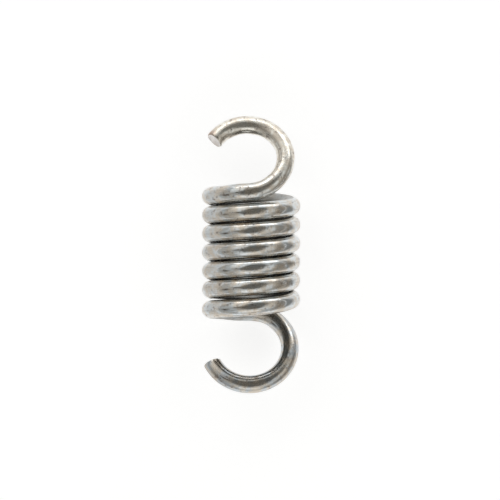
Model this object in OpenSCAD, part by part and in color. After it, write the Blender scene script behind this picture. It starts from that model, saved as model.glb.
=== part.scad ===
// Close-wound extension spring with a full hook at each end, bent from one length of round wire.
// It lies on a table as it comes to rest: the coil's axis runs along Y, and Z points up.

/* [Wire] */
// Diameter of the round wire
wire_d = 1.6; // [0.8:0.1:2.4]
// Width of the bevel that the cropping tool leaves round each cut end
end_bevel = 0.1; // [0.02:0.02:0.3]
// Angle by which the cropping tool leans a cut face off square, with the eye's side the longer
cut_slant = 7; // [0:1:20]

/* [Coil body] */
// Outside diameter of the close-wound coils
coil_od = 8.8; // [7:0.1:14]
// Whole turns between the roots of the two hooks
coil_turns = 6; // [2:1:8]
// Daylight between one turn and the next
turn_gap = 0.06; // [0.04:0.01:0.5]

/* [Upper hook] */
// How much wider in radius the upper hook is than the coil, to the middle of the wire
upper_hook_growth = -0.18; // [-0.4:0.01:1]
// How far the eye of the upper hook lies to the right of the coil's axis
upper_hook_side = -0.35; // [-0.6:0.05:0.6]
// How much further the upper hook stands off its last turn than one pitch
upper_hook_rise = 0.12; // [0:0.01:1]
// Arc of wire in the upper hook, from its root to the cut end
upper_hook_arc = 235; // [180:1:280]
// Extra daylight under the last turn at the upper end
upper_turn_slack = 0.03; // [0:0.01:0.4]

/* [Lower hook] */
// How much wider in radius the lower hook is than the coil, to the middle of the wire
lower_hook_growth = 0.02; // [-0.4:0.01:1]
// How far the eye of the lower hook lies to the right of the coil's axis
lower_hook_side = -0.15; // [-0.6:0.05:0.6]
// How much further the lower hook stands off its last turn than one pitch
lower_hook_rise = 0; // [0:0.01:1]
// Arc of wire in the lower hook, from its root to the cut end
lower_hook_arc = 241; // [180:1:280]
// Extra daylight above the last turn at the lower end
lower_turn_slack = 0.12; // [0:0.01:0.4]

/* [Hidden] */
// Flats round the wire, and degrees of turn from one ring of the wire's skin to the next
wire_sides = 20;
ring_step = 10;
wire_r = wire_d / 2;
coil_r = (coil_od - wire_d) / 2;
pitch = wire_d + turn_gap;
upper_hook_r = coil_r + upper_hook_growth;
lower_hook_r = coil_r + lower_hook_growth;
// Distance of a hook's root from the middle of the coil body
root_y = (coil_turns / 2 + 1 / 4) * pitch;
// Turn angle at the middle of the body, counted back from a hook's root
middle_angle = -(180 * coil_turns + 90);
// Stretch of wire over which a turn of the coil is bent over into a hook
bend_from = -45;
bend_to = 45;
// Stretch of wire over which the last turn moves off its neighbour
slack_from = -300;
slack_to = -170;

function unit(v) = v / norm(v);

function reversed(list) = [for (i = [len(list) - 1:-1:0]) list[i]];

// Rises smoothly from 0 at a to 1 at b, level at both ends
function ramp(a, b, s) =
    let (u = min(max((s - a) / (b - a), 0), 1))
    u * u * (3 - 2 * u);

// A hook leans back by this angle, which puts the top of its eye on the coil's axis
function lean(hook_r) = asin(min(coil_r / (2 * hook_r), 1));

// Middle of the wire at s degrees past a hook's root, for the end that points along +Y.
// The coil is a right-handed helix, and the hook is a circle that touches it at the root.
function wire_point(s, hook_r, side, rise, slack) =
    let (
        turn = [
            coil_r * sin(s),
            root_y + pitch * s / 360 + slack * ramp(slack_from, slack_to, s),
            coil_r * cos(s)
        ],
        reach = hook_r * (1 - cos(s)),
        eye = [
            side + hook_r * sin(s),
            root_y + rise + slack + reach * cos(lean(hook_r)),
            coil_r - reach * sin(lean(hook_r))
        ],
        share = ramp(bend_from, bend_to, s)
    )
    turn * (1 - share) + eye * share;

// Direction from the wire towards the middle of the turn or eye that it goes round
function wire_inward(s, hook_r) =
    let (
        to_axis = [-sin(s), 0, -cos(s)],
        to_eye = [-sin(s), cos(s) * cos(lean(hook_r)), -cos(s) * sin(lean(hook_r))],
        share = ramp(bend_from, bend_to, s)
    )
    to_axis * (1 - share) + to_eye * share;

// Places of the rings along one half of the wire, from the middle of the body to the cut end.
// They start half a step past the middle, so that every turn lies on a flat and not on a ring.
function places(arc) =
    let (half_step = ring_step / 2)
    concat([for (s = [middle_angle + half_step:ring_step:arc - half_step]) s], [arc]);

// Turns a point half a turn about X, which carries one end of the spring onto the other
function swap_end(p) = [p.x, -p.y, -p.z];

upper_line = [for (s = places(upper_hook_arc))
    wire_point(s, upper_hook_r, upper_hook_side, upper_hook_rise, upper_turn_slack)];
lower_line = [for (s = places(lower_hook_arc))
    swap_end(wire_point(s, lower_hook_r, lower_hook_side, lower_hook_rise, lower_turn_slack))];
upper_inward = [for (s = places(upper_hook_arc)) wire_inward(s, upper_hook_r)];
lower_inward = [for (s = places(lower_hook_arc)) swap_end(wire_inward(s, lower_hook_r))];

// The whole line, and its inward directions, from the lower cut end to the upper one
line = concat(reversed(lower_line), upper_line);
inward = concat(reversed(lower_inward), upper_inward);
last = len(line) - 1;

// Direction of the wire at place i of the line
function heading(i) = unit(line[min(i + 1, last)] - line[max(i - 1, 0)]);

// One ring of the wire's skin, of radius r, round place i. It is moved along the wire by shift,
// and slope leans it, so that it reaches further on the inward side than on the outward one.
function ring(i, r, shift = 0, slope = 0) =
    let (
        along = heading(i),
        across = unit(cross(along, inward[i])),
        up = cross(across, along)
    )
    [for (k = [0:wire_sides - 1])
        let (a = 360 * k / wire_sides)
        line[i] + along * (shift + slope * (wire_r + r * cos(a)))
        + r * (up * cos(a) + across * sin(a))];

// The two rings of a cut end, where way is 1 at the last place of the line and -1 at the first
function cut_rings(i, way) =
    [for (step_in = [0, end_bevel])
        ring(i, wire_r - step_in, way * step_in, way * tan(cut_slant))];

// All rings: the cut end, the plain wire, and the other cut end
rings = concat(
    reversed(cut_rings(0, -1)),
    [for (i = [1:last - 1]) ring(i, wire_r)],
    cut_rings(last, 1)
);
skin = [for (r = rings) each r];

// Corners of the skin's box, which put the origin on the table under the middle of the spring
low = [for (k = [0:2]) min([for (p = skin) p[k]])];
high = [for (k = [0:2]) max([for (p = skin) p[k]])];
seat = [(low.x + high.x) / 2, (low.y + high.y) / 2, low.z];

// Skin of a tube through rings of equal numbers of points, closed by a flat face at each end
module tube(points, sides, count) {
    side_faces = [
        for (i = [0:count - 2], k = [0:sides - 1])
            let (
                a = i * sides + k,
                b = i * sides + (k + 1) % sides,
                c = b + sides,
                d = a + sides
            )
            each [[a, c, b], [a, d, c]]
    ];
    first_face = [for (k = [0:sides - 1]) k];
    last_face = [for (k = [sides - 1:-1:0]) (count - 1) * sides + k];
    polyhedron(points = points, faces = concat(side_faces, [first_face], [last_face]));
}

module spring() {
    color([0.66, 0.64, 0.61])
        translate(-seat)
            tube(skin, wire_sides, len(rings));
}

spring();
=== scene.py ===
# %% [markdown]
# # A close-wound extension spring
# The spring is one length of round steel wire. A coiling machine winds it into seven turns that
# lie side by side, bends the last turn at each end over into an open hook, and crops the wire.
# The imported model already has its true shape, but its wire has only 20 flats. This lesson makes
# the same wire again as a fine surface, gives it a drawn-steel finish, and lights it so that the
# metal has something to reflect.

import bpy
import numpy as np
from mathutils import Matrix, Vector


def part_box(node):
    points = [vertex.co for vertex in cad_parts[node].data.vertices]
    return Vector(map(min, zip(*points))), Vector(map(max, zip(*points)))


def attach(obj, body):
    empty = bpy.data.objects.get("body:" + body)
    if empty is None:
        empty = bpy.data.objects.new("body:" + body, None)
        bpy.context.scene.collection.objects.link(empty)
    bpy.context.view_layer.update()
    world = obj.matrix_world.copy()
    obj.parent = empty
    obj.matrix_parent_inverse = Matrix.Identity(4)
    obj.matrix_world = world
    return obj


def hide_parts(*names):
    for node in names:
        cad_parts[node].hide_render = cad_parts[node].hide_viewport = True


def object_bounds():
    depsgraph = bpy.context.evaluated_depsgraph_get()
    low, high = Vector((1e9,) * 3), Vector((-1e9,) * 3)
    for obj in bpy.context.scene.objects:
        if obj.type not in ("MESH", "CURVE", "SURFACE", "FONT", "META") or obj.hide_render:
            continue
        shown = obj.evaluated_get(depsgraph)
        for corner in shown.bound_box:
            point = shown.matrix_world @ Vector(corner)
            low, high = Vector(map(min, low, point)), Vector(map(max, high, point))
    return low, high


MM = 0.001

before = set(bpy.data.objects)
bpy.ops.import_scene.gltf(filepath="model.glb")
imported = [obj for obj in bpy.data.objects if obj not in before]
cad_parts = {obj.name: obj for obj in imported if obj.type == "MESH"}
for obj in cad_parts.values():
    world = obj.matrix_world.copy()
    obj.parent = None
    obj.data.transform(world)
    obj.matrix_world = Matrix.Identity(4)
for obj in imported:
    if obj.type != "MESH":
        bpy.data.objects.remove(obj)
cad_low, cad_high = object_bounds()
print("packed spring, mm:", [round(side / MM, 3) for side in cad_high - cad_low])

# %% [markdown]
# ## The sizes that drive everything
# A spring drawing gives a handful of sizes: the wire, the outside diameter, the number of turns and
# the two hooks. Everything below is worked out from them. All lengths are in metres, because the
# frame is, so they are written in millimetres and multiplied by MM.

# %% Sizes of the spring
WIRE_R = 0.8 * MM
COIL_R = 3.6 * MM
COIL_TURNS = 6
PITCH = 1.66 * MM
END_BEVEL = 0.1 * MM

# Each hook: radius of its eye to the middle of the wire, how far the eye lies to the right,
# how far it stands off its last turn, and the slack beside that turn
UPPER_HOOK = dict(radius=3.42 * MM, side=-0.35 * MM, rise=0.12 * MM, slack=0.03 * MM)
LOWER_HOOK = dict(radius=3.62 * MM, side=-0.15 * MM, rise=0.0, slack=0.12 * MM)

# Degrees of arc from a hook's root to its cut end
UPPER_ARC = 235.0
LOWER_ARC = 241.0

# Distance from the middle of the body to a hook's root, and the turn angle at that middle,
# counted back from the root
ROOT_Y = (COIL_TURNS / 2 + 1 / 4) * PITCH
MIDDLE_ANGLE = -(180.0 * COIL_TURNS + 90.0)
print("a hook's root is", round(ROOT_Y / MM, 3), "mm from the middle of the body")

# %% [markdown]
# ## The line of the wire
# The middle of the wire is a curve in space. Over the body it is a right-handed helix. Past a
# hook's root it is a circle that touches the coil there and leans back, so that the top of the eye
# lies on the coil's axis. Both are functions of one angle, so they can be mixed over a quarter
# turn, which is the bend that the tool makes. A curve object could follow the same line, but a
# formula gives every ring of the wire its exact place and direction.

# %% The line as a function of the turn angle
# Degrees past a hook's root over which the turn is bent over into the hook, and over which the
# last turn moves off its neighbour
BEND = (-45.0, 45.0)
SLACK = (-300.0, -170.0)


def ramp(limits, s):
    """Rises from 0 to 1 between the two limits as 3u^2 - 2u^3, level at both ends."""
    u = np.clip((s - limits[0]) / (limits[1] - limits[0]), 0.0, 1.0)
    return u * u * (3.0 - 2.0 * u)


def half_line(s, radius, side, rise, slack):
    """Middle of the wire and its inward direction, s degrees past the root of the hook at +Y.

    Turn: radius times (sin s, -, cos s), climbing one pitch in 360 degrees.
    Eye: a circle of the hook's radius through the root, in a plane that leans back by
    arcsin(coil radius / twice the hook's radius). ramp() mixes the two over the bend.
    """
    a = np.radians(s)
    lean = np.arcsin(COIL_R / (2.0 * radius))
    reach = radius * (1.0 - np.cos(a))
    climb = ROOT_Y + PITCH * s / 360.0 + slack * ramp(SLACK, s)
    turn = np.stack([COIL_R * np.sin(a), climb, COIL_R * np.cos(a)], axis=1)
    eye_y = ROOT_Y + rise + slack + reach * np.cos(lean)
    eye = np.stack([side + radius * np.sin(a), eye_y, COIL_R - reach * np.sin(lean)], axis=1)
    to_axis = np.stack([-np.sin(a), 0.0 * a, -np.cos(a)], axis=1)
    to_eye = np.stack([-np.sin(a), np.cos(a) * np.cos(lean), -np.cos(a) * np.sin(lean)], axis=1)
    share = ramp(BEND, s)[:, None]
    return turn * (1.0 - share) + eye * share, to_axis * (1.0 - share) + to_eye * share


# Degrees of turn from one ring to the next, and the signs that turn a point half a turn about X
RING_STEP = 2.0
SWAP_ENDS = np.array([1.0, -1.0, -1.0])


def whole_line():
    """The upper half as it is, and the lower half turned half a turn about X and reversed."""
    halves = []
    for hook, arc in ((LOWER_HOOK, LOWER_ARC), (UPPER_HOOK, UPPER_ARC)):
        count = int(np.ceil((arc - MIDDLE_ANGLE) / RING_STEP))
        places = np.linspace(MIDDLE_ANGLE, arc, count + 1)
        halves.append(half_line(places, **hook))
    (low_points, low_inward), (up_points, up_inward) = halves
    points = np.concatenate([(low_points * SWAP_ENDS)[:0:-1], up_points])
    inward = np.concatenate([(low_inward * SWAP_ENDS)[:0:-1], up_inward])
    return points, inward


line, inward = whole_line()
wire_steps = np.linalg.norm(np.diff(line, axis=0), axis=1)
wire_length = np.concatenate([[0.0], np.cumsum(wire_steps)])
WIRE_END = wire_length[-1] / MM
print("rings along the wire:", len(line), " wire length, mm:", round(WIRE_END, 1))

# %% [markdown]
# ## Directions at every ring
# Each ring of the skin needs three directions at right angles: along the wire, up towards the
# middle of the turn, and across. Taking "up" from the turn's own middle keeps one side of the wire
# always inwards, so the marks that the tools leave can be put on the right side later.

# %% Directions along, up and across
def unit(vectors):
    """Each row divided by its length."""
    return vectors / np.linalg.norm(vectors, axis=1, keepdims=True)


along = unit(np.gradient(line, axis=0))
across = unit(np.cross(along, inward))
up = np.cross(across, along)
print("directions worked out at", len(up), "rings")

# %% [markdown]
# ## The skin
# The surface is a grid: one direction runs along the wire and the other round it. At each end a
# few more rings turn the corner of the bevel and then close in over the cut face. A cropping tool
# shears the wire, so the face is slightly hollow, leans a little off square, and has a thin burr
# on the outer side of the hook, where the wire lay against the fixed blade. A boolean cut would
# give a flat face at once, but not the hollow, and it would leave long thin faces.

# %% The profile of a cut end
# Points in a ring, and the rings that turn the bevel's corner and close in over the face
SIDES = 48
BEVEL_RINGS = 5
FACE_RINGS = 8

# Depth of the hollow, height of the burr, and the angle at which about a third of it is left
FACE_HOLLOW = 0.05 * MM
BURR_HEIGHT = 0.07 * MM
BURR_SPREAD = 50.0

# How a cut face leans off square in degrees, and how far the whole face stands past the line's
# end. The tool left the inner side longer at the upper end and the outer side at the lower one.
UPPER_CUT = dict(slant=7.0, reach=0.0)
LOWER_CUT = dict(slant=-7.0, reach=0.1 * MM)


def end_profile():
    """Distances past the last ring, and radii, over the bevel and the cut face.

    Bevel: a quarter circle of the bevel's width. Face: radii that shrink evenly to the middle,
    with a hollow as deep as the square root of the share of the way in, so it is steepest
    beside the rim.
    """
    t = np.linspace(0.0, np.pi / 2, BEVEL_RINGS + 1)[1:]
    bevel_out, bevel_r = END_BEVEL * np.sin(t), WIRE_R - END_BEVEL * (1.0 - np.cos(t))
    inwards = np.linspace(0.0, 1.0, FACE_RINGS + 1)[1:-1]
    face_out = END_BEVEL - FACE_HOLLOW * np.sqrt(inwards)
    face_r = (WIRE_R - END_BEVEL) * (1.0 - inwards)
    return np.concatenate([bevel_out, face_out]), np.concatenate([bevel_r, face_r])


# Angle round the wire, which is 0 on the inner side of the turn, and the angle from the outer side
theta = np.radians(np.arange(SIDES) * 360.0 / SIDES)
from_outer = np.degrees(np.abs(theta - np.pi))


def cut_end(place, way, slant, reach):
    """Rings of the bevel and the cut face, past one end of the line, as rings by sides by 3.

    Each point is middle + way * along * lift + radius * (up cos + across sin). The lift is the
    profile's own, plus reach, plus |tan slant| * wire radius + tan slant * radius * cos, which
    is greatest on the longer side, plus the burr, which is
    exp(-(angle from the outer side / spread)^2) high at the rim.
    """
    out, radius = (values[:, None] for values in end_profile())
    at_rim = np.exp(-(((radius - WIRE_R + END_BEVEL) / END_BEVEL) ** 2))
    burr = BURR_HEIGHT * np.exp(-((from_outer / BURR_SPREAD) ** 2))[None, :] * at_rim
    lean = np.tan(np.radians(slant))
    lift = reach + out + burr + abs(lean) * WIRE_R + lean * radius * np.cos(theta)[None, :]
    spoke = up[place] * np.cos(theta)[:, None] + across[place] * np.sin(theta)[:, None]
    return line[place] + way * along[place] * lift[..., None] + spoke * radius[..., None]


def spring_skin():
    """All rings from the lower cut face to the upper one, as an array of rings by sides by 3."""
    turned = up[:, None] * np.cos(theta)[:, None] + across[:, None] * np.sin(theta)[:, None]
    tube = line[:, None] + WIRE_R * turned
    lower, upper = cut_end(0, -1.0, **LOWER_CUT), cut_end(-1, 1.0, **UPPER_CUT)
    return np.concatenate([lower[::-1], tube, upper])


skin = spring_skin()
seat = (skin.reshape(-1, 3).max(axis=0) + skin.reshape(-1, 3).min(axis=0)) / 2
seat[2] = skin[..., 2].min()
skin = skin - seat
print("skin:", skin.shape[0], "rings of", skin.shape[1], "points")

# %% [markdown]
# ## From a grid to a closed mesh
# Neighbouring rings are joined by four-sided faces, and each end is closed by triangles round one
# middle point, so that the surface has no hole. from_pydata takes the arrays whole. The sum of
# the small tetrahedra under the faces is the volume: if it is positive, the faces point outwards.

# %% Build the mesh
rings_total = skin.shape[0]


def grid_faces():
    """Quads between each ring and the next, and a fan of triangles at each end."""
    ring, side = np.meshgrid(np.arange(rings_total - 1), np.arange(SIDES), indexing="ij")
    a = ring * SIDES + side
    b = ring * SIDES + (side + 1) % SIDES
    quads = np.stack([a, b, b + SIDES, a + SIDES], axis=-1).reshape(-1, 4)
    edge, after = np.arange(SIDES), (np.arange(SIDES) + 1) % SIDES
    first_pole, last_pole = rings_total * SIDES, rings_total * SIDES + 1
    last_ring = (rings_total - 1) * SIDES
    first_fan = np.stack([after, edge, np.full(SIDES, first_pole)], axis=1)
    last_fan = np.stack([last_ring + edge, last_ring + after, np.full(SIDES, last_pole)], axis=1)
    return quads, first_fan, last_fan


poles = np.stack([skin[0].mean(axis=0), skin[-1].mean(axis=0)])
vertices = np.concatenate([skin.reshape(-1, 3), poles])
quads, first_fan, last_fan = grid_faces()


def enclosed_volume():
    """A sixth of the sum of a . (b x c) over all triangles."""
    halves = np.concatenate([quads[:, [0, 1, 2]], quads[:, [0, 2, 3]], first_fan, last_fan])
    a, b, c = (vertices[halves[:, k]] for k in range(3))
    return np.einsum("ij,ij->i", a, np.cross(b, c)).sum() / 6.0


def new_object(name, data):
    """A new object for a mesh, lamp or camera, linked to the scene."""
    thing = bpy.data.objects.new(name, data)
    bpy.context.collection.objects.link(thing)
    return thing


if enclosed_volume() < 0:
    quads, first_fan, last_fan = quads[:, ::-1], first_fan[:, ::-1], last_fan[:, ::-1]
wire_mesh = bpy.data.meshes.new("spring_wire")
wire_mesh.from_pydata(vertices, [], quads.tolist() + first_fan.tolist() + last_fan.tolist())
wire_mesh.update()
spring = new_object("spring_wire", wire_mesh)
print("volume, mm3:", round(enclosed_volume() / MM**3, 1), " faces:", len(wire_mesh.polygons))

# %% [markdown]
# ## Which way the wire runs
# Drawing marks run along the wire and heat tint lies in patches along it, so the finish needs to
# know where on the wire a point is. A flat UV map has a seam where the wire closes on itself. A
# vector attribute has none: it stores the distance along the wire and the cosine and sine of the
# angle round it, and a texture that reads those three numbers is seamless.

# %% Store the place on the wire at every vertex
def wire_place():
    """Distance along the wire in mm, then radius / wire radius times cos and sin of the angle.

    On the round wire the last two are a point of the unit circle. Over a cut face they shrink
    to (0, 0) in the middle, so there they are a flat map of the face.
    """
    past, radius = end_profile()
    distance = np.concatenate([-past[::-1], wire_length, wire_length[-1] + past]) / MM
    ratio = np.concatenate([radius[::-1] / WIRE_R, np.ones(len(line)), radius / WIRE_R])
    place = np.empty((rings_total, SIDES, 3))
    place[..., 0] = distance[:, None]
    place[..., 1] = ratio[:, None] * np.cos(theta)
    place[..., 2] = ratio[:, None] * np.sin(theta)
    ends = np.array([[distance[0], 0.0, 0.0], [distance[-1], 0.0, 0.0]])
    return np.concatenate([place.reshape(-1, 3), ends])


place_data = wire_mesh.attributes.new("wire_place", "FLOAT_VECTOR", "POINT")
place_data.data.foreach_set("vector", wire_place().astype(np.float32).ravel())
print("places on the wire:", len(place_data.data))

# %% [markdown]
# ## Two kinds of face
# The drawn skin covers the wire and its bevels, and the two cut faces are bare sheared metal, so
# they take a second material. The first and last rows of quads and the two fans are those faces.
# All faces are shaded smooth, apart from edges sharper than 50 degrees, such as a burr's.

# %% Material slots and smooth shading
SHARP_EDGE = 50.0

face_quads = (FACE_RINGS - 1) * SIDES
slots = np.zeros(len(wire_mesh.polygons), dtype=np.int32)
slots[:face_quads] = 1
slots[len(quads) - face_quads:] = 1
wire_mesh.polygons.foreach_set("material_index", slots)
wire_mesh.polygons.foreach_set("use_smooth", np.ones(len(slots), dtype=bool))
wire_mesh.set_sharp_from_angle(angle=np.radians(SHARP_EDGE))
print("faces on the cut ends:", int(slots.sum()))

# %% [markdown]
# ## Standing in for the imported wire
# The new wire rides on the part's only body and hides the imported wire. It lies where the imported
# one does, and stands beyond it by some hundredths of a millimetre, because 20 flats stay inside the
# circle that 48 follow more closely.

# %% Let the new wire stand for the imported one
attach(spring, "root")
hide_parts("spring")
packed_low, packed_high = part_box("spring")
gap_low = (np.array(packed_low) - vertices.min(axis=0)) / MM
gap_high = (vertices.max(axis=0) - np.array(packed_high)) / MM
print("beyond the packed box, mm:", gap_low.round(3), gap_high.round(3))

# %% [markdown]
# ## Helpers for node trees
# A finish is a small graph of nodes, which could be clicked together by hand. Written out, each
# node takes several lines, so a few helpers keep the graphs short to read. add() makes a node and
# fills its sockets: one that gets another node's output is linked, and one that gets a number or
# a colour is set. The rest are the steps that every graph needs: arithmetic, a smooth step between
# two limits, and a mix of two colours.

# %% Node helpers
def plug(tree, socket, value):
    """Links a socket to an output, or sets it to a plain value."""
    if isinstance(value, bpy.types.NodeSocket):
        tree.links.new(value, socket)
    else:
        socket.default_value = value


def add(tree, kind, settings=None, **sockets):
    """Adds a node of one kind. Underscores in a socket's name stand for spaces."""
    node = tree.nodes.new(kind)
    for name, value in (settings or {}).items():
        setattr(node, name, value)
    for name, value in sockets.items():
        plug(tree, node.inputs[name.replace("_", " ")], value)
    return node


def calculate(tree, operation, *numbers):
    """One step of arithmetic on one or two numbers."""
    node = add(tree, "ShaderNodeMath", {"operation": operation})
    for socket, number in zip(node.inputs, numbers):
        plug(tree, socket, number)
    return node.outputs["Value"]


def product(tree, first, second):
    """First times second."""
    return calculate(tree, "MULTIPLY", first, second)


def sum_of(tree, first, *others):
    """All the numbers added up, from left to right."""
    total = first
    for other in others:
        total = calculate(tree, "ADD", total, other)
    return total


def vector_step(tree, operation, first, second):
    """One step of arithmetic on two vectors."""
    node = add(tree, "ShaderNodeVectorMath", {"operation": operation})
    plug(tree, node.inputs[0], first)
    plug(tree, node.inputs[1], second)
    return node.outputs


def map_range(tree, value, limits, levels, interpolation="LINEAR"):
    """The first level up to the first limit, the second from the second on, a ramp between."""
    node = add(tree, "ShaderNodeMapRange", {"interpolation_type": interpolation}, Value=value,
               From_Min=limits[0], From_Max=limits[1], To_Min=levels[0], To_Max=levels[1])
    return node.outputs["Result"]


def smooth_step(tree, value, limits, levels=(0.0, 1.0)):
    """As map_range, with a ramp that is level at both ends. The limits may run downwards."""
    return map_range(tree, value, limits, levels, "SMOOTHSTEP")


def mixed_colour(tree, share, first, second):
    """First colour where share is 0, second where it is 1.

    The Mix node has sockets for each kind of data: its colours are inputs 6 and 7 and output 2.
    """
    mix = add(tree, "ShaderNodeMix", {"data_type": "RGBA"})
    plug(tree, mix.inputs[0], share)
    plug(tree, mix.inputs[6], first)
    plug(tree, mix.inputs[7], second)
    return mix.outputs[2]


print("node helpers ready")

# %% [markdown]
# ## Groups and materials
# Both kinds of face of this wire have lines and stains, at their own scales. Copying the nodes
# would work, but an effect that two materials share is better kept as a node group: it is built
# once, and each material places it with its own values. A value that is the same all over a
# surface isn't worth a node, so it is set on the shader itself.

# %% Helpers for groups and materials
def new_group(name, inputs, outputs):
    """A node group with sockets given as (name, kind) pairs; returns it with its two end nodes."""
    group = bpy.data.node_groups.new(name, "ShaderNodeTree")
    for label, kind in inputs:
        group.interface.new_socket(label, in_out="INPUT", socket_type="NodeSocket" + kind)
    for label, kind in outputs:
        group.interface.new_socket(label, in_out="OUTPUT", socket_type="NodeSocket" + kind)
    return group, group.nodes.new("NodeGroupInput"), group.nodes.new("NodeGroupOutput")


def use_group(tree, group, **sockets):
    """Places a node group in a material, fills its inputs and returns its outputs."""
    return add(tree, "ShaderNodeGroup", {"node_tree": group}, **sockets).outputs


def new_material(name, metallic):
    """A node material, metallic or not; returns it with its node tree and its shader."""
    material = bpy.data.materials.new(name)
    material.use_nodes = True
    shader = material.node_tree.nodes["Principled BSDF"]
    shader.inputs["Metallic"].default_value = metallic
    return material, material.node_tree, shader


print("helpers for groups and materials ready")

# %% [markdown]
# ## Drawing lines
# Spring wire is pulled through a die, which leaves fine lines along it. A wave texture could draw
# them, but its lines are all alike. Here a line is a noise that changes fast round the wire and
# slowly along it: the three numbers of the attribute are stretched before they go into the noise,
# with the distance kept small. Because the cosine and sine close on themselves, so do the lines.

# %% Node group: drawing lines
# How many times finer the second noise is, and its share of the height
FINER = 4.0
FINE_SHARE = 0.5


def make_drawing_lines():
    """Noise of (distance x along, cos x round, sin x round), plus half as much of a finer one."""
    inputs = [("Place", "Vector"), ("Along", "Float"), ("Round", "Float")]
    group, given, result = new_group("drawing_lines", inputs, [("Height", "Float")])
    scale = add(group, "ShaderNodeCombineXYZ", X=given.outputs["Along"],
                Y=given.outputs["Round"], Z=given.outputs["Round"]).outputs["Vector"]
    where = vector_step(group, "MULTIPLY", given.outputs["Place"], scale)["Vector"]
    coarse = add(group, "ShaderNodeTexNoise", Vector=where, Scale=1.0, Detail=3.0, Roughness=0.6)
    fine = add(group, "ShaderNodeTexNoise", Vector=where, Scale=FINER, Detail=2.0, Roughness=0.6)
    fine_part = product(group, fine.outputs["Fac"], FINE_SHARE)
    plug(group, result.inputs["Height"], sum_of(group, coarse.outputs["Fac"], fine_part))
    return group


drawing_lines = make_drawing_lines()
print("group", drawing_lines.name, "nodes:", len(drawing_lines.nodes))

# %% [markdown]
# ## Heat tint and stains
# After coiling, a spring is tempered in an oven, which leaves a thin brown film in soft patches,
# and drops of oil burn to small dark specks. The film is a colour change of the metal itself, so it
# goes into the base colour and not into a second layer. Two noises of different sizes are used:
# one gives the patches, and the rare peaks of the other, finer one give the specks.

# %% Node group: heat tint
# Noise levels between which tint and specks set in, and how much finer the specks' noise is
TINT_LIMITS = (0.38, 0.62)
SPECK_LIMITS = (0.55, 0.71)
SPECKS_FINER = 2.7


def make_heat_tint():
    """Colour = clean, mixed with tint by a patch noise and with stain by the peaks of another."""
    inputs = [("Position", "Vector"), ("Clean", "Color"), ("Tint", "Color"), ("Stain", "Color"),
              ("Patch Size", "Float"), ("Amount", "Float")]
    outputs = [("Color", "Color"), ("Mask", "Float")]
    group, given, result = new_group("heat_tint", inputs, outputs)
    where, size = given.outputs["Position"], given.outputs["Patch Size"]
    patches = add(group, "ShaderNodeTexNoise", Vector=where, Scale=size, Detail=5.0,
                  Roughness=0.68, Distortion=0.2)
    specks = add(group, "ShaderNodeTexNoise", Vector=where,
                 Scale=product(group, size, SPECKS_FINER), Detail=4.0, Roughness=0.65)
    tinted = smooth_step(group, patches.outputs["Fac"], TINT_LIMITS)
    speckled = smooth_step(group, specks.outputs["Fac"], SPECK_LIMITS)
    tint_share = product(group, tinted, given.outputs["Amount"])
    stain_share = product(group, speckled, given.outputs["Amount"])
    colour = mixed_colour(group, tint_share, given.outputs["Clean"], given.outputs["Tint"])
    colour = mixed_colour(group, stain_share, colour, given.outputs["Stain"])
    plug(group, result.inputs["Color"], colour)
    plug(group, result.inputs["Mask"], sum_of(group, tint_share, stain_share))
    return group


heat_tint = make_heat_tint()
print("group", heat_tint.name, "nodes:", len(heat_tint.nodes))

# %% [markdown]
# ## Nicks and pits
# Loose springs are tumbled and shipped in bags, so their skin has small dents. They are far too
# many and too shallow to model, so they are relief in the material. A Voronoi texture gives the
# distance to scattered points, and where that is small there is a pit. Only the points whose
# random colour is high become pits, so they stay sparse.

# %% Node group: handling nicks
# A cell's random colour from which it starts to hold a pit, and from which the pit is whole
KEPT_CELLS = (0.6, 0.7)


def make_handling_nicks():
    """Depth = a smooth step from 1 at a point down to 0 at the pit size, in one cell out of three."""
    inputs = [("Position", "Vector"), ("Density", "Float"), ("Pit Size", "Float")]
    group, given, result = new_group("handling_nicks", inputs, [("Depth", "Float")])
    cells = add(group, "ShaderNodeTexVoronoi", Vector=given.outputs["Position"],
                Scale=given.outputs["Density"]).outputs
    close = smooth_step(group, cells["Distance"], (0.0, given.outputs["Pit Size"]), (1.0, 0.0))
    chosen = add(group, "ShaderNodeSeparateColor", Color=cells["Color"]).outputs["Red"]
    kept = smooth_step(group, chosen, KEPT_CELLS)
    plug(group, result.inputs["Depth"], product(group, close, kept))
    return group


handling_nicks = make_handling_nicks()
print("group", handling_nicks.name, "nodes:", len(handling_nicks.nodes))

# %% [markdown]
# ## Painted shade in the grooves
# The grooves between the turns and the inside of the coil, where shade falls, are painted darker: a
# painted shade. It could be shaded by ambient occlusion, but the attribute says where the grooves are
# without any tracing: its second number is 1 on the side of the wire that faces inwards, and its
# third is 1 or -1 on the sides that face the neighbouring turns. The painted shade ends where the
# hooks leave the body. Distances along the wire are in millimetres from its lower end.

# %% Where the painted groove shade lies
SHADE_START = 13.0
SHADE_END = 163.0
SHADE_FADE = 5.0

# Limits on the attribute's second number, and on its third without its sign
SHADE_INWARD = (-0.3, 0.4)
SHADE_FLANK = (0.945, 1.0)


def painted_groove_shade(tree, parts):
    """Painted shade mask: on the coil body, inward side or flanks. Larger of two smooth steps, times
    a fade.
    """
    inner = smooth_step(tree, parts["Y"], SHADE_INWARD)
    flank = smooth_step(tree, calculate(tree, "ABSOLUTE", parts["Z"]), SHADE_FLANK)
    after = smooth_step(tree, parts["X"], (SHADE_START, SHADE_START + SHADE_FADE))
    before = smooth_step(tree, parts["X"], (SHADE_END, SHADE_END - SHADE_FADE))
    return product(tree, calculate(tree, "MAXIMUM", inner, flank), product(tree, after, before))


# Where the painted groove shade starts and ends along the wire
print("film from", SHADE_START, "to", SHADE_END, "mm of", round(WIRE_END), "mm of wire")
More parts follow.
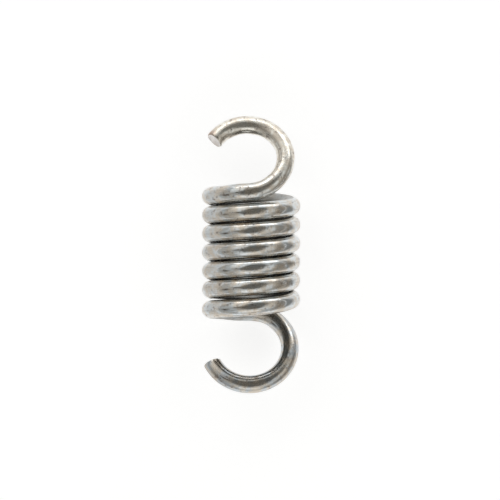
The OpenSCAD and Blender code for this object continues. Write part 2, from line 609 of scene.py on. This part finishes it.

# %% [markdown]
# ## The colours of the drawn wire
# Drawn steel is a cool grey metal. Four things change its colour, and each is a mask that mixes in
# one more colour. The upper hook is painted brighter and warmer, a painted highlight, and the lower
# one is painted darker, a painted shade. Dried oil lies in streaks along the wire, most on the lower
# hook: they are the same line noise at a coarser scale, of which only the peaks are kept. The shear
# has left a brown rim on the outer side of the upper cut end.

# %% Colours along the wire
STEEL = (0.68, 0.715, 0.73, 1.0)
# The next two colours are painted light: a painted highlight on the upper hook and a painted shade on
# the lower one
PAINTED_HIGHLIGHT_STEEL = (0.90, 0.885, 0.82, 1.0)
PAINTED_SHADE_STEEL = (0.54, 0.575, 0.60, 1.0)
OIL_STAIN = (0.27, 0.23, 0.205, 1.0)

# Stretches of the wire over which the upper hook takes its painted highlight and the lower one its
# painted shade, and the rim turns brown
HIGHLIT_AND_RUBBED_FROM_TO = (160.0, 168.0)
SHADED_AND_OILY_FROM_TO = (17.0, 11.0)
RIM_FROM_TO = (WIRE_END - 0.45, WIRE_END - 0.05)

# The rim's limits on the attribute's second number, which is -1 on the outer side
RIM_SIDE = (0.2, -0.6)
RIM_SHARE = 0.85

# Scales of the streaks, the noise levels between which they set in, and the share of oil in them,
# with what the lower hook adds to it
STREAKS = dict(Along=0.22, Round=3.4)
STREAK_LIMITS = (0.78, 1.0)
STREAK_SHARE = 0.4
LOWER_HOOK_STREAK_SHARE = 0.3


def steel_with_hook_light(tree, along_wire):
    """The metal's colour with a painted highlight on the upper hook and a painted shade on the lower
    one, and the masks of both hooks.
    """
    highlit_and_rubbed = smooth_step(tree, along_wire, HIGHLIT_AND_RUBBED_FROM_TO)
    shaded_and_oily_hook = smooth_step(tree, along_wire, SHADED_AND_OILY_FROM_TO)
    clean = mixed_colour(tree, highlit_and_rubbed, STEEL, PAINTED_HIGHLIGHT_STEEL)
    return mixed_colour(tree, shaded_and_oily_hook, clean, PAINTED_SHADE_STEEL), highlit_and_rubbed, shaded_and_oily_hook


def oil_streaks(tree, place, shaded_and_oily_hook):
    """Mask: peaks of a coarse line noise, times a share that is larger on the lower hook."""
    streaks = use_group(tree, drawing_lines, Place=place, **STREAKS)["Height"]
    share = sum_of(tree, product(tree, shaded_and_oily_hook, LOWER_HOOK_STREAK_SHARE), STREAK_SHARE)
    return product(tree, smooth_step(tree, streaks, STREAK_LIMITS), share)


def brown_rim(tree, parts):
    """Mask: the outer side of the wire, over the last half millimetre before the upper cut."""
    outer_side = smooth_step(tree, parts["Y"], RIM_SIDE)
    at_end = smooth_step(tree, parts["X"], RIM_FROM_TO)
    return product(tree, product(tree, outer_side, at_end), RIM_SHARE)


print("brown rim from", round(RIM_FROM_TO[0], 2), "mm on")

# %% [markdown]
# ## The drawn wire
# The skin is smooth, so it shows the studio almost as a mirror. What breaks the mirror up is
# relief: the drawing lines, the pits, and a slight waviness from the coiling rollers. The heights
# are millionths of a metre, because a bump is measured against a wire 1.6 mm thick. The waves are
# some 20 of them over most of a millimetre, which is enough to bend a reflection by some degrees.
# Each layer is one term of a sum, and the sum goes into one Bump node. Tint, the mask of the painted
# groove shade and handling also take away a little gloss, so they are added to the roughness.

# %% Material: drawn steel
TEMPER_TINT = (0.665, 0.595, 0.505, 1.0)
RIM_TINT = (0.42, 0.30, 0.235, 1.0)
# Painted shade for the grooves between the turns and inside the coil, and its share
GROOVE_SHADE = (0.19, 0.19, 0.18, 1.0)
GROOVE_SHADE_SHARE = 0.75

# Scales of the lines, and the roughness at a low and at a high line
LINES = dict(Along=0.35, Round=9.0)
LINE_LIMITS = (0.5, 1.0)
GLOSS = (0.07, 0.2)

# What tint, stain and the mask of the painted groove shade add to the roughness, and what rubbing
# adds
STAINED_ROUGHNESS = 0.12
RUBBED_ROUGHNESS = 0.05

# The layers of relief, in millionths of a metre
MICRON = 1.0e-6
LINE_HEIGHT = 2.5
PIT_DEPTH = 4.0
WAVE_HEIGHT = 22.0


def wire_coordinates(tree):
    """The place on the wire, read from the attribute, and the plain Object coordinates."""
    place = add(tree, "ShaderNodeAttribute", {"attribute_name": "wire_place"}).outputs["Vector"]
    return place, add(tree, "ShaderNodeTexCoord").outputs["Object"]


def raised(tree, relief, unit_height):
    """A normal bent by relief, whose heights are counted in unit_height metres."""
    bump = add(tree, "ShaderNodeBump", Strength=1.0, Distance=unit_height, Height=relief)
    return bump.outputs["Normal"]


def drawn_relief(tree, position, lines):
    """Height in millionths of a metre = lines - pits + waves, each times its own height."""
    pits = use_group(tree, handling_nicks, Position=position, Density=1900.0, Pit_Size=0.32)
    waves = add(tree, "ShaderNodeTexNoise", Vector=position, Scale=1100.0, Detail=3.0,
                Roughness=0.55)
    return sum_of(tree, product(tree, lines, LINE_HEIGHT),
                  product(tree, pits["Depth"], -PIT_DEPTH),
                  product(tree, waves.outputs["Fac"], WAVE_HEIGHT))


def make_drawn_steel():
    """Colour: metal with the hooks' painted highlight and shade, tint, streaks, rim and the painted
    groove shade, in that order. Roughness and relief: sums.
    """
    material, tree, shader = new_material("drawn_steel", 1.0)
    place, position = wire_coordinates(tree)
    parts = add(tree, "ShaderNodeSeparateXYZ", Vector=place).outputs
    groove_shade = painted_groove_shade(tree, parts)
    # The metal's colour holds a painted highlight on the upper hook and a painted shade on the lower
    # one
    clean, highlit_and_rubbed, shaded_and_oily_hook = steel_with_hook_light(tree, parts["X"])
    tint = use_group(tree, heat_tint, Position=position, Clean=clean, Tint=TEMPER_TINT,
                     Stain=OIL_STAIN, Patch_Size=1000.0, Amount=0.95)
    colour = mixed_colour(tree, oil_streaks(tree, place, shaded_and_oily_hook), tint["Color"], OIL_STAIN)
    colour = mixed_colour(tree, brown_rim(tree, parts), colour, RIM_TINT)
    # Painted shade in the grooves between the turns and inside the coil
    colour = mixed_colour(tree, product(tree, groove_shade, GROOVE_SHADE_SHARE), colour, GROOVE_SHADE)
    plug(tree, shader.inputs["Base Color"], colour)
    lines = use_group(tree, drawing_lines, Place=place, **LINES)["Height"]
    gloss = map_range(tree, lines, LINE_LIMITS, GLOSS)
    stained = product(tree, sum_of(tree, tint["Mask"], groove_shade), STAINED_ROUGHNESS)
    rough = sum_of(tree, gloss, stained, product(tree, highlit_and_rubbed, RUBBED_ROUGHNESS))
    plug(tree, shader.inputs["Roughness"], rough)
    relief = drawn_relief(tree, position, lines)
    plug(tree, shader.inputs["Normal"], raised(tree, relief, MICRON))
    return material


drawn_steel = make_drawn_steel()
print("material", drawn_steel.name, "nodes:", len(drawn_steel.node_tree.nodes))

# %% [markdown]
# ## The cut ends
# A cropped face has no drawn skin. The blade leaves lines across it in the way that it moved, and
# the half on the inner side of the hook is torn and stays dull. On the face the attribute is a
# flat map, so the same line group serves: it is stretched the other way.

# %% Material: cropped steel
CUT_STEEL = (0.82, 0.79, 0.765, 1.0)
CUT_TINT = (0.68, 0.61, 0.56, 1.0)

# The blade's way over the face is drawn out, so that the noise makes lines along it
BLADE_STRETCH = (0.0, 0.15, 1.0)
BLADE_LINES = dict(Along=0.0, Round=7.0)

# Where the torn half begins, and the roughness of the sheared half and of the torn one
TORN_LIMITS = (-0.15, 0.15)
CUT_ROUGHNESS = (0.28, 0.45)
CUT_RELIEF = 12.0 * MICRON


def make_cropped_steel():
    """Blade lines run along the cos part of the attribute; the torn half is rougher."""
    material, tree, shader = new_material("cropped_steel", 1.0)
    place, position = wire_coordinates(tree)
    blade = vector_step(tree, "MULTIPLY", place, BLADE_STRETCH)["Vector"]
    lines = use_group(tree, drawing_lines, Place=blade, **BLADE_LINES)["Height"]
    tint = use_group(tree, heat_tint, Position=position, Clean=CUT_STEEL, Tint=CUT_TINT,
                     Stain=OIL_STAIN, Patch_Size=900.0, Amount=0.8)
    plug(tree, shader.inputs["Base Color"], tint["Color"])
    across_cut = add(tree, "ShaderNodeSeparateXYZ", Vector=place).outputs["Y"]
    torn = smooth_step(tree, across_cut, TORN_LIMITS)
    plug(tree, shader.inputs["Roughness"], map_range(tree, torn, (0.0, 1.0), CUT_ROUGHNESS))
    grain = add(tree, "ShaderNodeTexNoise", Vector=position, Scale=9000.0, Detail=3.0)
    relief = sum_of(tree, lines, product(tree, torn, grain.outputs["Fac"]))
    plug(tree, shader.inputs["Normal"], raised(tree, relief, CUT_RELIEF))
    return material


cropped_steel = make_cropped_steel()
wire_mesh.materials.append(drawn_steel)
wire_mesh.materials.append(cropped_steel)
print("materials on the wire:", [material.name for material in wire_mesh.materials])

# %% [markdown]
# ## The floor
# The spring lies on plain pale paper. The paper is an ordinary diffuse surface, and a share of plain
# white is added for the rays that the camera and the metal see, so that it is near white and still
# keeps a soft shadow. More light would whiten it too, but would bleach the metal. In the metal that
# white share carries painted shade: it is painted dimmer on the left, as a painted shadow of the
# spring, and painted dark on the right, standing in for a dim part of the room, which draws a painted
# dark reflection at the edge of each turn. The bright part widens towards both ends of the spring,
# because a hook there looks out over more of the table.

# %% Floor
FLOOR_HALF = 3.0
PAPER = (0.5, 0.5, 0.5, 1.0)
WHITE = (1.0, 1.0, 1.0, 1.0)
PAPER_ROUGHNESS = 0.9
PAPER_GLOW = 0.76

# Painted shade on the paper, seen only in the metal: the paper's share at its two sides, the places
# over which it gets there, and the distance along the spring over which the bright part doubles in
# width
LEFT_SHARE = 0.55
LEFT_LIMITS = (-11.0 * MM, -3.0 * MM)
RIGHT_SHARE = 0.0
RIGHT_LIMITS = (8.0 * MM, 21.0 * MM)
WEDGE = 20.0 * MM


def painted_paper_shade(tree):
    """Painted shade, seen only in the metal: 1 near the spring; LEFT_SHARE from 11 mm left of it;
    down to RIGHT_SHARE 8 to 21 mm right.

    The distances are measured on x / (1 + |y| / WEDGE), so the bright part widens with distance.
    """
    where = add(tree, "ShaderNodeTexCoord").outputs["Object"]
    parts = add(tree, "ShaderNodeSeparateXYZ", Vector=where).outputs
    away = calculate(tree, "ABSOLUTE", parts["Y"])
    widening = sum_of(tree, product(tree, away, 1.0 / WEDGE), 1.0)
    x = calculate(tree, "DIVIDE", parts["X"], widening)
    left = smooth_step(tree, x, LEFT_LIMITS, (LEFT_SHARE, 1.0))
    right = smooth_step(tree, x, RIGHT_LIMITS, (1.0, RIGHT_SHARE))
    return product(tree, left, right)


def make_floor():
    """One square of paper, at the height of the box's lowest corner."""
    corners = [(-1, -1), (1, -1), (1, 1), (-1, 1)]
    points = [(FLOOR_HALF * x, FLOOR_HALF * y, cad_low[2]) for x, y in corners]
    mesh = bpy.data.meshes.new("floor")
    mesh.from_pydata(points, [], [(0, 1, 2, 3)])
    floor = new_object("floor", mesh)
    material, tree, shader = new_material("paper", 0.0)
    shader.inputs["Base Color"].default_value = PAPER
    shader.inputs["Roughness"].default_value = PAPER_ROUGHNESS
    shader.inputs["Emission Color"].default_value = WHITE
    path = add(tree, "ShaderNodeLightPath").outputs
    bounced = sum_of(tree, path["Is Glossy Ray"], path["Is Transmission Ray"])
    # The metal sees the paper's white share with painted shade on it
    in_metal = product(tree, bounced, painted_paper_shade(tree))
    seen = sum_of(tree, path["Is Camera Ray"], in_metal)
    plug(tree, shader.inputs["Emission Strength"], product(tree, seen, PAPER_GLOW))
    mesh.materials.append(material)
    return floor


floor = make_floor()
print("floor half width, m:", FLOOR_HALF, " at height, m:", floor.data.vertices[0].co.z)

# %% [markdown]
# ## The studio
# Polished wire has hardly any colour of its own: it shows what is around it. Cards and curtains
# could be modelled round it, but a room laid out by zones of direction needs no objects, and each
# zone can be moved by two angles. Overhead, where the camera stands, it is dark; that is the dark
# middle of every turn, and an arm of that hood reaches towards the far side. Round the hood is a
# pale ceiling with a bright skylight on the far left, and between it and the wall on the left is a
# grey stretch. On the right the wall is dim and warm, which is the brown oval near the right end of
# each turn. Two small dark spots on the left draw a speck at the same place on each turn, and a
# thin pale band at the horizon carries the paper on in low views.

# %% World
HOOD = (0.15, 0.147, 0.135, 1.0)
CEILING = (0.71, 0.712, 0.695, 1.0)
SKYLIGHT = (0.93, 0.93, 0.91, 1.0)
WALL = (0.455, 0.46, 0.452, 1.0)
DIM_WALL = (0.28, 0.262, 0.235, 1.0)
DARK_SPOT = (0.06, 0.045, 0.03, 1.0)
HORIZON = (0.95, 0.95, 0.95, 1.0)

# Each zone: azimuth and zenith angle of its middle, the angles off the middle at which it starts
# and is full, and its colour. A later zone lies over an earlier one, and the wall lies under all.
ZONES = [
    dict(middle=(95.0, 90.0), start_full=(48.0, 28.0), colour=DIM_WALL),
    dict(middle=(0.0, 0.0), start_full=(65.0, 53.0), colour=CEILING),
    dict(middle=(255.0, 56.0), start_full=(34.0, 20.0), colour=WALL),
    dict(middle=(327.0, 57.0), start_full=(24.0, 11.0), colour=SKYLIGHT),
    dict(middle=(130.0, 1.5), start_full=(34.0, 25.0), colour=HOOD),
    dict(middle=(25.0, 26.0), start_full=(30.5, 22.5), colour=HOOD),
    dict(middle=(276.0, 34.0), start_full=(9.0, 5.0), colour=DARK_SPOT),
    dict(middle=(254.0, 64.0), start_full=(11.0, 7.0), colour=DARK_SPOT),
    dict(middle=(0.0, 0.0), start_full=(86.5, 88.0), colour=HORIZON),
]


def towards(azimuth, zenith):
    """Unit vector at an azimuth, clockwise from +Y, and an angle off straight up, in degrees."""
    a, z = np.radians(azimuth), np.radians(zenith)
    return Vector((np.sin(a) * np.sin(z), np.cos(a) * np.sin(z), np.cos(z)))


def angle_from(tree, direction, azimuth, zenith):
    """Degrees between a direction and the one at these angles: the arc cosine of their product."""
    closeness = vector_step(tree, "DOT_PRODUCT", direction, towards(azimuth, zenith))["Value"]
    return product(tree, calculate(tree, "ARCCOSINE", closeness), 180.0 / np.pi)


def make_world():
    """Starts from the wall and lays the zones over it, one after the other."""
    world = bpy.data.worlds.new("studio")
    world.use_nodes = True
    tree = world.node_tree
    direction = add(tree, "ShaderNodeTexCoord").outputs["Generated"]
    colour = WALL
    for zone in ZONES:
        off_middle = angle_from(tree, direction, *zone["middle"])
        share = smooth_step(tree, off_middle, zone["start_full"])
        colour = mixed_colour(tree, share, colour, zone["colour"])
    plug(tree, tree.nodes["Background"].inputs["Color"], colour)
    return world


bpy.context.scene.world = make_world()
print("world:", bpy.context.scene.world.name, " zones:", len(ZONES))

# %% [markdown]
# ## Two softboxes
# A long softbox stands beyond each end of the spring, low over the table. Each turn of the coil
# runs across between them, so each turn gets one bright line on its far side and a fainter one on
# its near side. The lamps are wide and a metre away, which keeps the light soft and the level plain.

# %% Lamps
LAMP_DISTANCE = 1.0


def softbox(name, azimuth, elevation, half_width, half_height, radiance):
    """An area lamp a metre away that faces the spring, with all angles in degrees.

    Size = 2 x distance x tan(half size), and power = radiance x pi x area.
    """
    lamp = bpy.data.lights.new(name, "AREA")
    lamp.shape = "RECTANGLE"
    lamp.size = 2.0 * LAMP_DISTANCE * np.tan(np.radians(half_width))
    lamp.size_y = 2.0 * LAMP_DISTANCE * np.tan(np.radians(half_height))
    lamp.energy = radiance * np.pi * lamp.size * lamp.size_y
    holder = new_object(name, lamp)
    way = towards(azimuth, 90.0 - elevation)
    holder.location = way * LAMP_DISTANCE
    holder.rotation_euler = way.to_track_quat("Z", "Y").to_euler()
    return holder


softbox("softbox_far", azimuth=7.0, elevation=11.8, half_width=35.0, half_height=10.8, radiance=1.6)
softbox("softbox_near", azimuth=180.0, elevation=29.0, half_width=20.0, half_height=16.0,
        radiance=0.42)
print("lamps:", [lamp.name for lamp in bpy.data.lights])

# %% [markdown]
# ## The camera
# The camera looks almost straight down, as in the photograph, and stands a little towards the far
# end of the spring. It is half a metre away, where the picture is nearly without perspective. The
# lens length follows from the width that the picture takes in at the spring.

# %% Camera
# Degrees off straight down, distance in metres, width of the picture, and the place in its middle
VIEW_TILT = 2.2
VIEW_DISTANCE = 0.5
VIEW_WIDTH = 44.6 * MM
VIEW_CENTRE = Vector((-0.1 * MM, 0.43 * MM, 4.39 * MM))

# Width of the sensor in millimetres, and the nearest distance in metres that is drawn
SENSOR = 36.0
NEAR_LIMIT = 0.01

camera_data = bpy.data.cameras.new("camera")
camera_data.sensor_width = SENSOR
camera_data.lens = SENSOR * VIEW_DISTANCE / VIEW_WIDTH
camera_data.clip_start = NEAR_LIMIT
camera = new_object("camera", camera_data)
camera.location = VIEW_CENTRE + VIEW_DISTANCE * towards(0.0, VIEW_TILT)
camera.rotation_euler = (-np.radians(VIEW_TILT), 0.0, 0.0)
bpy.context.scene.camera = camera
bpy.context.scene.view_settings.view_transform = "Standard"
print("lens, mm:", round(camera_data.lens, 1))
